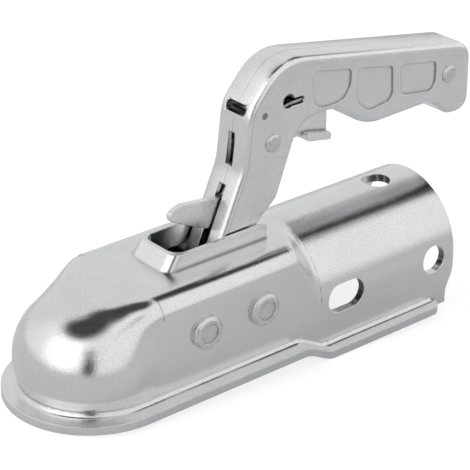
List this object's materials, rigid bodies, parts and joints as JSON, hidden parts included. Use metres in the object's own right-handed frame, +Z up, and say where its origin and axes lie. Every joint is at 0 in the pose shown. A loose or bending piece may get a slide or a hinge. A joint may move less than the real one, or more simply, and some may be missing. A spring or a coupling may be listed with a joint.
{
  "type": "trailer coupling head",
  "caption": "Pressed-steel trailer coupling head with a ball socket, a hand lever with safety catch, and a clamp-on seat for a round drawbar.",
  "frame": {"origin": "centre of the towed ball when coupled, on the drawbar's axis", "axes": "+X runs rearward along the drawbar, +Y to the right hand of someone who faces the way it travels (-X), +Z up"},
  "size_m": [0.2693, 0.085, 0.1446],
  "materials": {
    "zinc_body": "bright zinc plating on drawn sheet",
    "zinc_lever": "satin zinc plating on pressed sheet",
    "zinc_catch": "satin zinc plating",
    "forged_steel": "zinc plated forging",
    "rivet_steel": "zinc plated, pressed heads",
    "spring_steel": "drawn spring wire"
  },
  "bodies": {
    "coupling": {"coupling_body": "zinc_body", "front_rivet": "rivet_steel", "rear_rivet": "rivet_steel", "clamp_sleeve_left": "rivet_steel", "clamp_sleeve_right": "rivet_steel", "lever_sleeve_left": "rivet_steel", "lever_sleeve_right": "rivet_steel", "clamp_spring": "spring_steel"},
    "clamp": {"ball_clamp": "forged_steel"},
    "lever": {"lever_shell_left": "zinc_lever", "lever_shell_right": "zinc_lever", "lever_bush": "rivet_steel", "neck_rivet": "rivet_steel", "neck_collar_left": "rivet_steel", "neck_collar_right": "rivet_steel", "grip_rivet": "rivet_steel", "grip_spacer": "rivet_steel", "spring_pin": "spring_steel", "catch_spring": "spring_steel"},
    "catch": {"catch_plate": "zinc_catch"}
  },
  "joints": [
    {"name": "lever_open", "type": "hinge", "parent": "coupling", "child": "lever", "pos_m": [0.0803, 0, 0.01115], "axis": [0, -1, 0], "range_deg": [0, 30]},
    {"name": "catch_pull", "type": "hinge", "parent": "lever", "child": "catch", "pos_m": [0.105, 0, 0.0797], "axis": [0, -1, 0], "range_deg": [0, 19.5]},
    {"name": "clamp_open", "type": "hinge", "parent": "coupling", "child": "clamp", "pos_m": [0.0464, 0, 0.01115], "axis": [0, -1, 0], "range_deg": [0, 15]}
  ],
  "couplings": [
    {"joint": "catch_pull", "follows": "lever_open", "ratio": 0.65},
    {"joint": "clamp_open", "follows": "lever_open", "ratio": 0.5}
  ]
}
